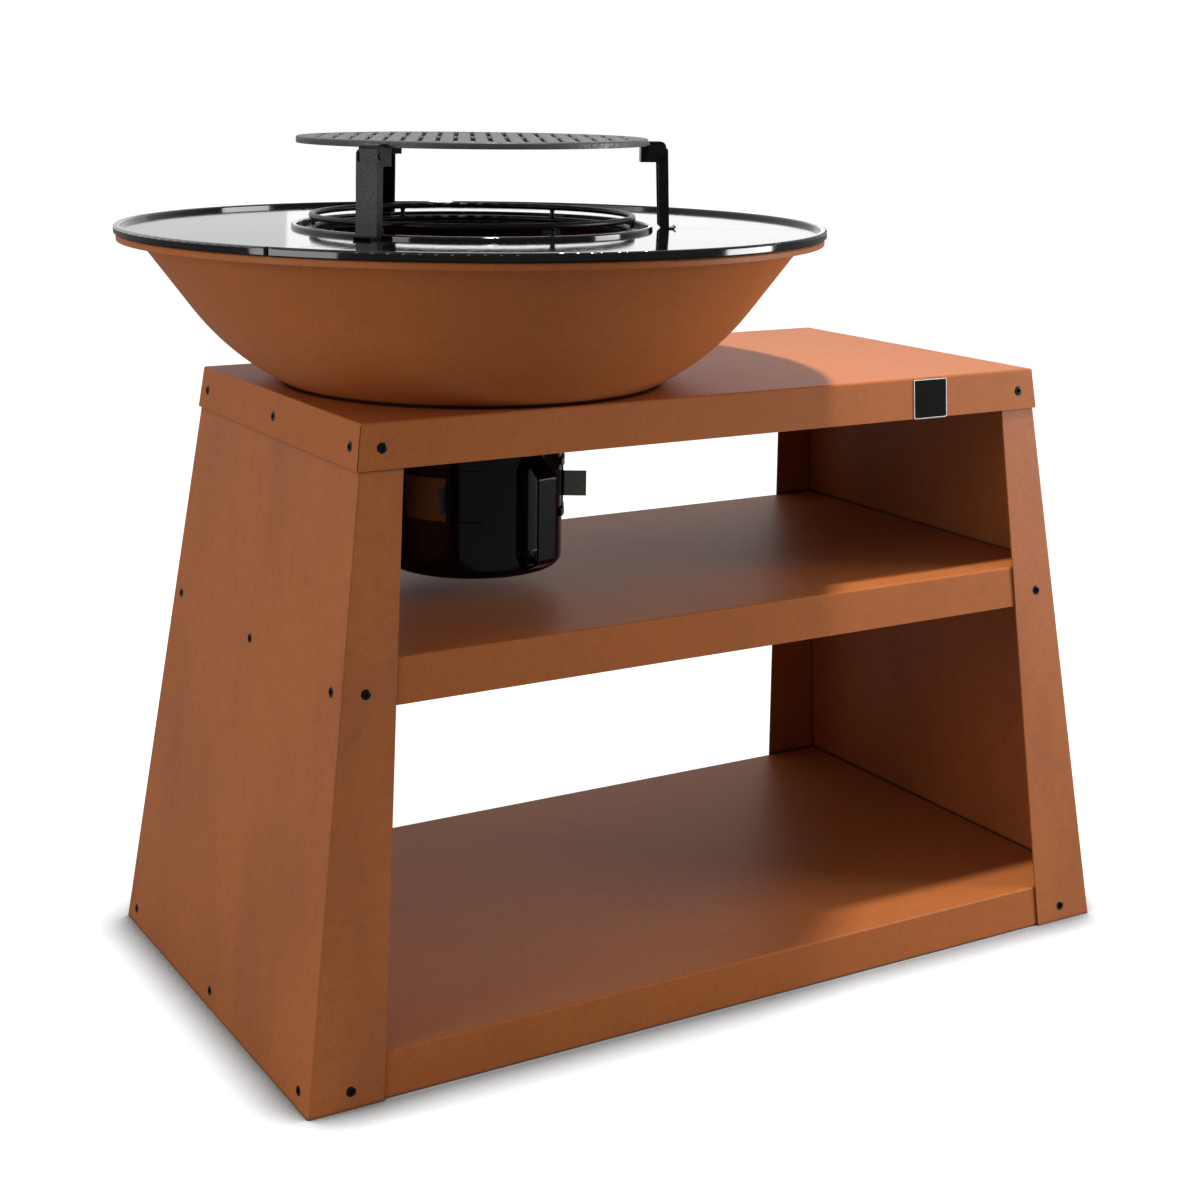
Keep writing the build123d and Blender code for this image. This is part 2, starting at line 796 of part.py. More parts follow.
def handle_rivet_holes():
    up = (Align.CENTER, Align.CENTER, Align.MIN)
    hole = Cylinder(handle_rivet_radius + rivet_clearance, 2 * bucket_radius, align=up)
    return [plane.location * hole for plane in handle_rivet_places()]


def handle_rivets():
    """Each has a head on the strap and a tail against the bucket's inside."""
    up = (Align.CENTER, Align.CENTER, Align.MIN)
    flare = handle_rivet_radius + rivet_flare
    inner_wall = bucket_radius - bucket_sheet
    tail_top = sqrt(inner_wall**2 - (handle_rivet_spread + flare) ** 2)
    outer = handle_seat + handle_sheet
    shank = Pos(0, 0, tail_top) * Cylinder(handle_rivet_radius, outer - tail_top, align=up)
    head = Pos(0, 0, outer) * Cylinder(flare, rivet_head, align=up)
    tail = Pos(0, 0, tail_top - rivet_head) * Cylinder(flare, rivet_head, align=up)
    return Compound([plane.location * (shank + head + tail) for plane in handle_rivet_places()])


def vent_shutter(hand):
    """Curved plate with its finger tab bent outwards at the end nearer to the handle."""
    outer = bucket_radius + fit_gap + shutter_sheet
    reach = tab_reach - fit_gap - shutter_sheet - tab_bend
    runs = ((0, shutter_sweep, outer), (0, -90, tab_bend), (reach, 0, 0))
    section = sheet_section((outer, 0), 90, runs, shutter_sheet)
    plate = Pos(0, 0, shutter_bottom) * extrude(section, shutter_top - shutter_bottom)
    for low, high in ((shutter_bottom - overcut, tab_bottom), (tab_top, shutter_top + overcut)):
        ring = Cylinder(outer + tab_reach + overcut, high - low) - Cylinder(outer, high - low)
        plate -= Pos(0, 0, (low + high) / 2) * ring
    plate = turned(shutter_tab(-1) - shutter_sweep, plate)
    if hand > 0:
        plate = mirror(plate, Plane.XZ)
        plate = turned(2 * handle_azimuth - right_shutter_open, plate)
    return plate


def shutter_guides(hand):
    """Upper and lower folded strips that a shutter slides between."""
    tab = shutter_tab(hand)
    ends = sorted((tab - hand * shutter_travel, tab + hand * (shutter_sweep + guide_spare)))
    inner = bucket_radius
    lip = inner + 2 * fit_gap + shutter_sheet
    outer = lip + guide_sheet
    strips = []
    for edge, side in ((shutter_bottom, 1), (shutter_top, -1)):
        points = (
            (inner, edge - side * guide_foot),
            (outer, edge - side * guide_foot),
            (outer, edge + side * guide_lap),
            (lip, edge + side * guide_lap),
            (lip, edge - side * fit_gap),
            (inner, edge - side * fit_gap),
        )
        section = make_face(Polyline(*points, close=True))
        strips.append(revolve(radial(ends[0]) * section, Axis.Z, revolution_arc=ends[1] - ends[0]))
    return Compound(strips)


def stand_pieces():
    cap_seat = sheet + fit_gap
    panel_back = -sheet
    shelf_back = -(2 * sheet + fit_gap)
    levels = dict(zip(("top_panel", "middle_shelf", "bottom_shelf"), screw_levels()))
    pieces = {
        "top_panel": top_panel(),
        "left_side_panel": side_panel(-1),
        "right_side_panel": side_panel(1),
        "middle_shelf": shelf(middle_shelf_height, middle_shelf_flange, middle_shelf_screws),
        "bottom_shelf": shelf(bottom_shelf_height, bottom_shelf_flange, bottom_shelf_screws),
    }
    for name, (top, places) in levels.items():
        outer = name == "top_panel"
        pieces[name + "_screws"] = screw_set(top, places, cap_seat if outer else 0)
        pieces[name + "_nuts"] = nut_set(top, places, panel_back if outer else shelf_back)
    return pieces


def bowl_pieces():
    pieces = {
        "fire_bowl": fire_bowl(),
        "griddle_support": griddle_support(),
        "guard_lower_ring": guard_ring(0),
        "guard_upper_ring": guard_ring(1),
        "guard_posts": guard_posts(),
        "grate_plate": grate_plate(),
        "grate_pins": grate_pins(),
        "fire_grate": fire_grate(),
        "ash_chute": ash_chute(),
        "ash_grid": ash_grid(),
        "bowl_bolts": bowl_bolts(),
        "bowl_nuts": bowl_nuts(),
        "bucket_rail_left": bucket_rail(-1),
        "bucket_rail_right": bucket_rail(1),
        "bucket_stop": bucket_stop(),
        "ash_bucket": ash_bucket(),
        "bucket_handle": bucket_handle(),
        "handle_rivets": handle_rivets(),
        "vent_shutter_left": vent_shutter(-1),
        "vent_shutter_right": vent_shutter(1),
        "shutter_guides_left": shutter_guides(-1),
        "shutter_guides_right": shutter_guides(1),
    }
    for number, segment in enumerate(griddle_segments(), start=1):
        pieces[f"griddle_segment_{number}"] = segment
    for number, azimuth in enumerate(seam_azimuths(), start=1):
        pieces[f"grate_shoe_{number}"] = grate_shoe(azimuth)
        pieces[f"grate_leg_{number}"] = grate_leg(azimuth)
    return pieces


def write_parts():
    os.makedirs("parts", exist_ok=True)
    for offset, pieces in ((stand_x, stand_pieces()), (bowl_x, bowl_pieces())):
        for name, solid in pieces.items():
            export_step(Pos(offset, 0, 0) * solid, f"parts/{name}.step")


write_parts()
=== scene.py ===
"""Finishes, fasteners, badge plate and studio for a fire-bowl griddle on a rust-effect steel stand."""

from math import cos, pi, radians, sin, tau

import bmesh
import bpy
from bpy.props import FloatProperty, FloatVectorProperty, PointerProperty
from bpy.types import Operator, Panel, PropertyGroup
from mathutils import Matrix, Vector


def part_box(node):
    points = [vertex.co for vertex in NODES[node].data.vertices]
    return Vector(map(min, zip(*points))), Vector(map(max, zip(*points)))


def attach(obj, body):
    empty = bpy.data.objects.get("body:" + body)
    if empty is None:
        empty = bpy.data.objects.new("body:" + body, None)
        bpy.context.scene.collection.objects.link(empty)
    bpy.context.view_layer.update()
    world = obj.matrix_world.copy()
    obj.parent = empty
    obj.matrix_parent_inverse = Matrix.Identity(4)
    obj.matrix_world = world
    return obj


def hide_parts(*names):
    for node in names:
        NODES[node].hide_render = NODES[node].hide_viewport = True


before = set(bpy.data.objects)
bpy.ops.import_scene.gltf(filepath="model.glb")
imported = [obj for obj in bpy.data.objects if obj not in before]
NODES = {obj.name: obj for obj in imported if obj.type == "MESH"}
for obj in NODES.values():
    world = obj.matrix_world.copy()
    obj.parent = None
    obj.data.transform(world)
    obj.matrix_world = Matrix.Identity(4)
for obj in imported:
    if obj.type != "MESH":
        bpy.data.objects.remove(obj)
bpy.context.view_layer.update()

bl_info = {
    "name": "Fire-bowl griddle finishes",
    "version": (1, 0, 0),
    "blender": (4, 5, 0),
    "location": "3D View > Sidebar > Fire bowl",
    "description": "Coats, enamels, screws and studio for a fire-bowl griddle on a steel stand",
    "category": "Object",
}

MM = 0.001

# How many straight steps stand for the grate's rim, the rounding of its edges, a slot's end, a corner of
# the badge and the dome of a screw head
RIM_STEPS = 180
ROUND_STEPS = 5
SLOT_STEPS = 8
CORNER_STEPS = 6
DOME_STEPS = 9

# Each screw's socket stands this much further round than the one before
SOCKET_TURN = radians(17)

# Half the width of the paper floor, in metres
FLOOR_REACH = 15.0

# Soft lamps in metres: name, width and height, place, and the point that the lamp faces
SOFT_LAMPS = (
    ("left", (1.6, 1.6), (-3.2, -0.5, 1.1), (-0.5, 0.0, 0.5)),
    ("right", (1.4, 1.4), (3.1, -1.6, 1.0), (0.2, -0.2, 0.5)),
    ("back", (2.8, 1.3), (2.3, 3.0, 1.35), (0.3, 0.0, 0.6)),
)


def to_linear(code):
    """Turns an sRGB hex colour into the linear RGBA that shaders and lamps take."""
    channels = [int(code[index:index + 2], 16) / 255 for index in (0, 2, 4)]
    linear = [c / 12.92 if c <= 0.04045 else ((c + 0.055) / 1.055) ** 2.4 for c in channels]
    return (*linear, 1.0)


def colour(name, description, code):
    """A colour that a user can change, from its sRGB hex value."""
    return FloatVectorProperty(
        name=name, description=description, default=to_linear(code), size=4, subtype="COLOR", min=0, max=1
    )


def length(name, description, millimetres):
    """A length that a user can change, from millimetres."""
    return FloatProperty(
        name=name, description=description, default=millimetres * MM, min=0, subtype="DISTANCE", unit="LENGTH"
    )


class FireBowlColours(PropertyGroup):
    """Colours of the coats, enamels and metals."""

    rust: colour("Rust", "Main colour of the rust-effect powder coat", "BB6C38")
    rust_dark: colour("Dark rust", "Brown patches of the powder coat", "7E4A30")
    rust_grain: colour("Rust grain", "Dark grains of the powder coat", "5E3119")
    seam: colour("Seam", "Dark line where sheets meet", "1E0E07")
    # Painted shade: the colour that ambient occlusion blends into seams, corners and under flanges
    enamel: colour("Enamel", "Gloss enamel of the griddle and the bucket", "070708")
    grate: colour("Grate enamel", "Satin enamel of the raised grate", "343538")
    frame_coat: colour("Frame coat", "Heat-proof coat of the guard, legs and rails", "0D0E0F")
    oxide: colour("Black oxide", "Blackened steel of the button-head screws", "0A0A0B")
    zinc: colour("Zinc", "Plated nuts and bolts", "B9BBBC")
    stainless: colour("Stainless", "Brushed vent shutters", "6B6860")
    scale: colour("Mill scale", "Raw steel inside the bowl", "3A3633")
    badge: colour("Badge", "Field of the plain badge plate", "050606")
    badge_rim: colour("Badge rim", "Bare rim of the badge plate", "C9CBCC")
    floor: colour("Floor", "Seamless pale paper", "808080")


class FireBowlSizes(PropertyGroup):
    """Sizes of the fine pieces and of the patterns in the finishes."""

    head_radius: length("Screw head radius", "Wide button head", 7.0)
    head_height: length("Screw head height", "Wide button head", 3.6)
    socket_width: length("Socket width", "Hexagon socket across its flats", 5.0)
    socket_depth: length("Socket depth", "Depth of the hexagon socket", 2.2)
    shank_radius: length("Screw shank radius", "M6 thread", 3.0)
    shank_length: length("Screw shank length", "Length under the head", 12.0)
    badge_width: length("Badge width", "Plain plate on the top panel's front flange", 50.5)
    badge_height: length("Badge height", "Plain plate, as tall as the flange's flat face", 46.8)
    badge_corner: length("Badge corner", "Corner radius of the plate", 2.5)
    badge_thickness: length("Badge thickness", "Thickness of the plate", 1.0)
    badge_rim: length("Badge rim", "Width of the bare rim", 1.1)
    badge_inset: length("Badge inset", "From the right end of the top panel to the badge", 168.5)
    slot_pitch: length("Slot pitch", "Spacing of the grate's slots", 19.0)
    slot_width: length("Slot width", "Width of a slot between its rounded edges", 4.6)
    slot_spine: length("Spine", "Solid bar across the middle of the grate", 16.0)
    slot_margin: length("Slot margin", "From the slots to the grate's rim", 14.0)
    slot_turn: FloatProperty(
        name="Slot turn", description="Way that the spine runs", default=radians(-27.4), subtype="ANGLE"
    )
    grate_thickness: length("Grate thickness", "Plate of the grate inside its rim", 5.2)
    grate_rim: length("Grate rim", "Width of the down-turned rim", 3.0)
    grate_round: length("Grate rounding", "Rounding of the rim and the slots", 2.2)
    weld_bead: length("Weld bead", "Leg length of the beads at the guard's posts", 1.6)
    rust_patch: length("Rust patch", "Size of the coat's brown patches", 110.0)
    rust_mottle: length("Rust mottle", "Size of the coat's mottling", 14.0)
    rust_grain: length("Rust grain", "Sandy grain, real about 0.6 mm, drawn coarse enough to show", 1.2)
    # Painted shade: how far the occlusion reaches that darkens seams and corners
    seam_shade_reach: length("Seam dirt", "Reach of the dark line in seams and corners", 5.0)
    enamel_peel: length("Enamel peel", "Wave of the fired enamel's surface", 9.0)
    brush_line: length("Brush line", "Brushing, real about 0.1 mm, drawn coarse enough to show", 0.5)
    coat_peel: length("Coat peel", "Orange peel of the heat-proof coat", 2.5)
    fine_grain: length("Fine grain", "Grain of the badge's aluminium, drawn coarse enough to show", 0.8)


class FireBowlStudio(PropertyGroup):
    """Lamps, world and camera."""

    key_place: FloatVectorProperty(
        name="Key place", description="Where the overhead lamp hangs",
        default=(-0.14, -0.39, 2.62), size=3, subtype="TRANSLATION", unit="LENGTH",
    )
    key_size: length("Key size", "Width of the overhead lamp", 160.0)
    key_power: FloatProperty(name="Key power", description="Power of the overhead lamp", default=54)
    sky_high: FloatProperty(name="Sky overhead", description="Fill light from overhead", default=0.36)
    sky_low: FloatProperty(name="Sky low down", description="Fill light from the horizon", default=0.03)
    room_shine: FloatProperty(
        name="Room in reflections", description="Brightness of the front of the studio in gloss", default=0.22
    )
    wall_shine: FloatProperty(
        name="Wall in reflections", description="Brightness of the studio's back wall in gloss", default=0.93
    )
    floor_glow: FloatProperty(name="Floor glow", description="Lift of the paper floor to white", default=1.05)
    floor_shine: FloatProperty(
        name="Floor in reflections", description="Share of the floor's glow that gloss shows", default=0.12
    )
    contact_reach: length("Contact shadow", "Reach of the soft shadow round the foot", 70.0)
    left_power: FloatProperty(name="Left lamp", description="Power of the lamp on the left", default=39)
    right_power: FloatProperty(name="Right lamp", description="Power of the lamp on the right", default=86)
    back_power: FloatProperty(name="Back lamp", description="Power of the low soft lamp behind", default=6)
    eye: FloatVectorProperty(
        name="Camera place", description="Where the camera stands",
        default=(-1.2265, -1.9990, 1.0541), size=3, subtype="TRANSLATION", unit="LENGTH",
    )
    heading: FloatProperty(
        name="Heading", description="Turn of the view away from the stand's front",
        default=radians(-29.98), subtype="ANGLE",
    )
    tilt: FloatProperty(
        name="Tilt", description="How far the view looks down", default=radians(15.05), subtype="ANGLE"
    )
    roll: FloatProperty(
        name="Roll", description="Turn about the view axis", default=radians(0.65), subtype="ANGLE"
    )
    lens: FloatProperty(name="Lens", description="Focal length on a 36 mm sensor", default=58.54)
    shift_x: FloatProperty(name="Shift across", description="Framing across", default=0.042)
    shift_y: FloatProperty(name="Shift up", description="Framing up", default=0.0018)


# Materials


def add_node(tree, kind, settings=None, links=None):
    """Adds a node with its settings and links. A key is an input's name or number, or a property."""
    made = tree.nodes.new(kind)
    for key, value in (settings or {}).items():
        if isinstance(key, int) or key in made.inputs:
            made.inputs[key].default_value = value
        else:
            setattr(made, key, value)
    for key, socket in (links or {}).items():
        tree.links.new(socket, made.inputs[key])
    return made


def new_material(name, settings):
    """Starts a material whose Principled shader has these settings, and returns its tree and shader."""
    material = bpy.data.materials.new(name)
    material.use_nodes = True
    tree = material.node_tree
    tree.nodes.clear()
    shader = add_node(tree, "ShaderNodeBsdfPrincipled", settings)
    add_node(tree, "ShaderNodeOutputMaterial", {}, {"Surface": shader.outputs["BSDF"]})
    return material, tree, shader


def place_socket(tree):
    """Object coordinates, in metres, because every piece's mesh lies in place."""
    return add_node(tree, "ShaderNodeTexCoord").outputs["Object"]


def noise(tree, place, size, settings=None):
    """Noise with features of about this size in metres."""
    base = {"Scale": 1 / size, "Detail": 3.0, "Roughness": 0.5}
    base.update(settings or {})
    return add_node(tree, "ShaderNodeTexNoise", base, {"Vector": place}).outputs["Fac"]


def span(tree, value, low, high, to_low, to_high):
    """Maps a value from one range onto another, clamped."""
    settings = {"From Min": low, "From Max": high, "To Min": to_low, "To Max": to_high}
    return add_node(tree, "ShaderNodeMapRange", settings, {"Value": value}).outputs["Result"]


def blend_colours(tree, factor, first, second):
    """Mixes two colours, each a socket or a constant."""
    settings, links = {"data_type": "RGBA"}, {"Factor": factor}
    mix = add_node(tree, "ShaderNodeMix", settings, links)
    for socket, value in ((mix.inputs[6], first), (mix.inputs[7], second)):
        if isinstance(value, bpy.types.NodeSocket):
            tree.links.new(value, socket)
        else:
            socket.default_value = tuple(value)
    return mix.outputs[2]


def rust_powder_coat(name, colours, sizes, worn, sheen):
    """Rust-effect polyester powder coat on mild steel: fine sand texture, satin, dark grain, brown
    patches that are stronger where the sheet has been handled, and painted shade: a dark line that
    ambient occlusion lays in seams, corners and under overlapping flanges."""
    material, tree, shader = new_material(name, {"IOR": 1.5, "Specular IOR Level": sheen})
    place = place_socket(tree)
    upright = add_node(tree, "ShaderNodeMapping", {"Scale": (1.0, 1.0, 0.35)}, {"Vector": place})
    patch_noise = noise(tree, upright.outputs["Vector"], sizes.rust_patch, {"Detail": 4.0})
    patch = span(tree, patch_noise, 0.42, 0.78, 0.0, worn)
    mottle_noise = noise(tree, place, sizes.rust_mottle, {"Detail": 5.0})
    mottle = span(tree, mottle_noise, 0.48, 0.78, 0.0, 0.3 * worn + 0.1)
    grain_noise = noise(tree, place, sizes.rust_grain, {"Detail": 3.0, "Roughness": 0.8})
    grain = span(tree, grain_noise, 0.44, 0.66, 0.0, 0.45)
    patched = blend_colours(tree, patch, colours.rust, colours.rust_dark)
    mottled = blend_colours(tree, mottle, patched, colours.rust_dark)
    grained = blend_colours(tree, grain, mottled, colours.rust_grain)
    # Painted shade: ambient occlusion darkens the coat towards the seam colour in seams, corners and under
    # overlapping flanges
    air = add_node(tree, "ShaderNodeAmbientOcclusion", {"Distance": sizes.seam_shade_reach, "samples": 6})
    shading = span(tree, air.outputs["AO"], 0.45, 0.95, 0.85, 0.0)
    tree.links.new(blend_colours(tree, shading, grained, colours.seam), shader.inputs["Base Color"])
    tree.links.new(span(tree, grain_noise, 0.35, 0.65, 0.42, 0.56), shader.inputs["Roughness"])
    bump = add_node(
        tree, "ShaderNodeBump", {"Strength": 0.5, "Distance": 0.15 * MM}, {"Height": grain_noise}
    )
    tree.links.new(bump.outputs["Normal"], shader.inputs["Normal"])
    return material


def fired_enamel(name, base, roughness, peel, depth, sheen=0.5):
    """Fired vitreous enamel on steel: near black, with a faint wave where the glass has flowed. The wave's
    depth is small beside its length, so the mirror image only ripples."""
    settings = {"Base Color": tuple(base), "IOR": 1.52, "Roughness": roughness, "Specular IOR Level": sheen}
    material, tree, shader = new_material(name, settings)
    wave = noise(tree, place_socket(tree), peel, {"Detail": 1.0})
    tree.links.new(span(tree, wave, 0.3, 0.7, roughness * 0.8, roughness * 1.3), shader.inputs["Roughness"])
    bump = add_node(tree, "ShaderNodeBump", {"Strength": 1.0, "Distance": depth}, {"Height": wave})
    tree.links.new(bump.outputs["Normal"], shader.inputs["Normal"])
    return material


def heatproof_coat(colours, sizes):
    """Heat-proof silicone coat on steel: dense black, semi-gloss, with a light orange peel."""
    settings = {"Base Color": tuple(colours.frame_coat), "IOR": 1.5, "Specular IOR Level": 0.2}
    material, tree, shader = new_material("heatproof_black_coat", settings)
    peel = noise(tree, place_socket(tree), sizes.coat_peel, {"Detail": 2.0})
    tree.links.new(span(tree, peel, 0.3, 0.7, 0.28, 0.42), shader.inputs["Roughness"])
    bump = add_node(tree, "ShaderNodeBump", {"Strength": 0.3, "Distance": 0.06 * MM}, {"Height": peel})
    tree.links.new(bump.outputs["Normal"], shader.inputs["Normal"])
    return material


def black_oxide(colours):
    """Black-oxide alloy steel screws: dark, oily and fairly sharp in their highlights."""
    settings = {"Base Color": tuple(colours.oxide), "IOR": 1.5, "Specular IOR Level": 0.2}
    material, tree, shader = new_material("black_oxide_steel", settings)
    film = noise(tree, place_socket(tree), 1.5 * MM)
    tree.links.new(span(tree, film, 0.3, 0.7, 0.18, 0.34), shader.inputs["Roughness"])
    return material


def zinc_plate(colours):
    """Zinc-plated steel: pale grey metal with a soft cloudy gloss."""
    material, tree, shader = new_material("zinc_plated_steel", {"Metallic": 1.0})
    cloud = noise(tree, place_socket(tree), 4 * MM)
    darker = [channel * 0.75 for channel in colours.zinc[:3]] + [1.0]
    tinted = blend_colours(tree, span(tree, cloud, 0.35, 0.65, 0.0, 1.0), colours.zinc, darker)
    tree.links.new(tinted, shader.inputs["Base Color"])
    tree.links.new(span(tree, cloud, 0.3, 0.7, 0.28, 0.45), shader.inputs["Roughness"])
    return material


def brushed_stainless(colours, sizes):
    """Brushed stainless steel: fine level brush lines that spread the highlight up and down."""
    material, tree, shader = new_material("brushed_stainless_steel", {"Metallic": 1.0})
    stretch = add_node(
        tree, "ShaderNodeMapping", {"Scale": (0.04, 0.04, 1.0)}, {"Vector": place_socket(tree)}
    ).outputs["Vector"]
    lines = noise(tree, stretch, sizes.brush_line, {"Detail": 4.0})
    darker = [channel * 0.7 for channel in colours.stainless[:3]] + [1.0]
    tinted = blend_colours(tree, span(tree, lines, 0.35, 0.65, 0.0, 1.0), colours.stainless, darker)
    tree.links.new(tinted, shader.inputs["Base Color"])
    tree.links.new(span(tree, lines, 0.3, 0.7, 0.25, 0.4), shader.inputs["Roughness"])
    bump = add_node(tree, "ShaderNodeBump", {"Strength": 0.2, "Distance": 0.02 * MM}, {"Height": lines})
    tree.links.new(bump.outputs["Normal"], shader.inputs["Normal"])
    return material


def mill_scale(colours):
    """Hot-rolled steel with its mill scale: dark grey, patchy, dull."""
    material, tree, shader = new_material("mill_scale_steel", {"Metallic": 0.6})
    place = place_socket(tree)
    patch = span(tree, noise(tree, place, 12 * MM, {"Detail": 5.0}), 0.35, 0.65, 0.0, 1.0)
    darker = [channel * 0.45 for channel in colours.scale[:3]] + [1.0]
    tree.links.new(blend_colours(tree, patch, colours.scale, darker), shader.inputs["Base Color"])
    tree.links.new(span(tree, patch, 0.0, 1.0, 0.5, 0.75), shader.inputs["Roughness"])
    return material


def anodised_field(colours, sizes):
    """Black anodised aluminium: even, satin, with a very fine matt grain."""
    settings = {"Base Color": tuple(colours.badge), "IOR": 1.5, "Specular IOR Level": 0.04}
    material, tree, shader = new_material("black_anodised_aluminium", settings)
    grain = noise(tree, place_socket(tree), sizes.fine_grain)
    tree.links.new(span(tree, grain, 0.3, 0.7, 0.3, 0.42), shader.inputs["Roughness"])
    return material


def bare_aluminium(colours, sizes):
    """Bare milled aluminium on the badge's rim: pale, bright, finely scratched."""
    settings = {"Base Color": tuple(colours.badge_rim), "Metallic": 1.0}
    material, tree, shader = new_material("bare_milled_aluminium", settings)
    scratch = noise(tree, place_socket(tree), sizes.fine_grain * 0.75)
    tree.links.new(span(tree, scratch, 0.3, 0.7, 0.22, 0.4), shader.inputs["Roughness"])
    return material


def paper(colours, studio):
    """Seamless paper: matt, with a faint grain. A glow that only shows to the eye and in gloss lifts it
    to white, and fades close to the object so that a soft contact shadow stays."""
    settings = {"Base Color": tuple(colours.floor), "Specular IOR Level": 0.1, "Emission Color": (1, 1, 1, 1)}
    material, tree, shader = new_material("seamless_paper", settings)
    grain = noise(tree, place_socket(tree), 3 * MM)
    tree.links.new(span(tree, grain, 0.3, 0.7, 0.85, 0.95), shader.inputs["Roughness"])
    air = add_node(tree, "ShaderNodeAmbientOcclusion", {"Distance": studio.contact_reach, "samples": 8})
    near = span(tree, air.outputs["AO"], 0.58, 0.98, 0.0, 1.0)
    path = add_node(tree, "ShaderNodeLightPath").outputs
    shine = {"operation": "MULTIPLY", 1: studio.floor_shine}
    gloss = add_node(tree, "ShaderNodeMath", shine, {0: path["Is Glossy Ray"]})
    seen = add_node(
        tree, "ShaderNodeMath", {"operation": "MAXIMUM"}, {0: path["Is Camera Ray"], 1: gloss.outputs[0]}
    )
    through = add_node(
        tree, "ShaderNodeMath", {"operation": "MAXIMUM"}, {0: seen.outputs[0], 1: path["Is Transmission Ray"]}
    )
    lift = add_node(tree, "ShaderNodeMath", {"operation": "MULTIPLY"}, {0: through.outputs[0], 1: near})
    full = {"operation": "MULTIPLY", 1: studio.floor_glow}
    glow = add_node(tree, "ShaderNodeMath", full, {0: lift.outputs[0]})
    tree.links.new(glow.outputs[0], shader.inputs["Emission Strength"])
    return material


def assign(material, *names):
    """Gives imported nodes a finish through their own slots."""
    for name in names:
        for slot in NODES[name].material_slots:
            slot.material = material


def material_named(name):
    """Finds a finish that the first step has made."""
    made = bpy.data.materials.get(name)
    if made is None:
        raise RuntimeError(f"make the finishes first: there is no {name}")
    return made


# Shapes


def islands(node):
    """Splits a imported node's mesh into its loose solids, as lists of faces of one bmesh."""
    mesh = bmesh.new()
    mesh.from_mesh(NODES[node].data)
    bmesh.ops.remove_doubles(mesh, verts=mesh.verts, dist=0.01 * MM)
    groups, seen = [], set()
    for start in mesh.faces:
        if start in seen:
            continue
        group, stack = [], [start]
        seen.add(start)
        while stack:
            face = stack.pop()
            group.append(face)
            for edge in face.edges:
                for other in edge.link_faces:
                    if other not in seen:
                        seen.add(other)
                        stack.append(other)
        groups.append(group)
    return mesh, groups


def widest_plane(faces, toward=None):
    """Centre and normal of the flat face with the most area, of those that face a direction."""
    areas = {}
    for face in faces:
        if toward is None or face.normal.dot(toward) > cos(radians(30)):
            key = tuple(round(value, 2) for value in face.normal)
            total, centre, normal = areas.get(key, (0.0, Vector(), Vector()))
            area = face.calc_area()
            centre = centre + face.calc_center_median() * area
            areas[key] = (total + area, centre, normal + face.normal * area)
    total, centre, normal = max(areas.values(), key=lambda entry: entry[0])
    return centre / total, normal.normalized()


def bridged(mesh, levels, matrix):
    """Adds closed loops of points with the walls between them, and returns the loops' vertices."""
    loops = [[mesh.verts.new(matrix @ Vector(point)) for point in level] for level in levels]
    for low, high in zip(loops, loops[1:]):
        for index in range(len(low)):
            after = (index + 1) % len(low)
            mesh.faces.new((low[index], low[after], high[after], high[index]))
    return loops


def lathed(mesh, rings, matrix, segments=48):
    """Adds a closed turned shape: each ring is a radius, or a function of the angle, and a height."""
    angles = [tau * index / segments for index in range(segments)]
    levels = []
    for radius, height in rings:
        level = []
        for angle in angles:
            reach = radius(angle) if callable(radius) else radius
            level.append((reach * cos(angle), reach * sin(angle), height))
        levels.append(level)
    loops = bridged(mesh, levels, matrix)
    mesh.faces.new(reversed(loops[0]))
    mesh.faces.new(loops[-1])


def finish_piece(name, mesh, material, body, sharp=35):
    """Turns a bmesh into a piece that rides on a body and takes a slot."""
    data = bpy.data.meshes.new(name)
    mesh.normal_update()
    mesh.to_mesh(data)
    mesh.free()
    data.shade_smooth()
    data.set_sharp_from_angle(angle=radians(sharp))
    piece = bpy.data.objects.new(name, data)
    bpy.context.scene.collection.objects.link(piece)
    data.materials.append(material)
    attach(piece, body)
    return piece


def socket_radius(width):
    """Radius of a hexagon across its flats, as a function of the angle."""
    def reach(angle):
        return width / 2 / cos((angle + pi / 6) % (pi / 3) - pi / 6)
    return reach


def screw_rings(sizes):
    """Shank, domed button head and hexagon socket of a screw with its seat at height 0."""
    radius, height, socket = sizes.head_radius, sizes.head_height, socket_radius(sizes.socket_width)
    crown, rim = radius * 0.56, height * 0.16
    chamfer, edge, point = 0.8 * MM, 0.15 * MM, 0.6 * MM
    rings = [
        (sizes.shank_radius - chamfer, -sizes.shank_length),
        (sizes.shank_radius, chamfer - sizes.shank_length),
        (sizes.shank_radius, 0.0),
        (radius, 0.0),
        (radius, rim),
    ]
    for step in range(1, DOME_STEPS + 1):
        angle = pi / 2 * step / DOME_STEPS
        rings.append((crown + (radius - crown) * cos(angle), rim + (height - rim) * sin(angle)))
    rings.append((lambda angle: socket(angle) + edge, height))
    rings.append((socket, height - edge))
    rings.append((socket, height - sizes.socket_depth))
    rings.append((point / 2, height - sizes.socket_depth - point))
    return rings


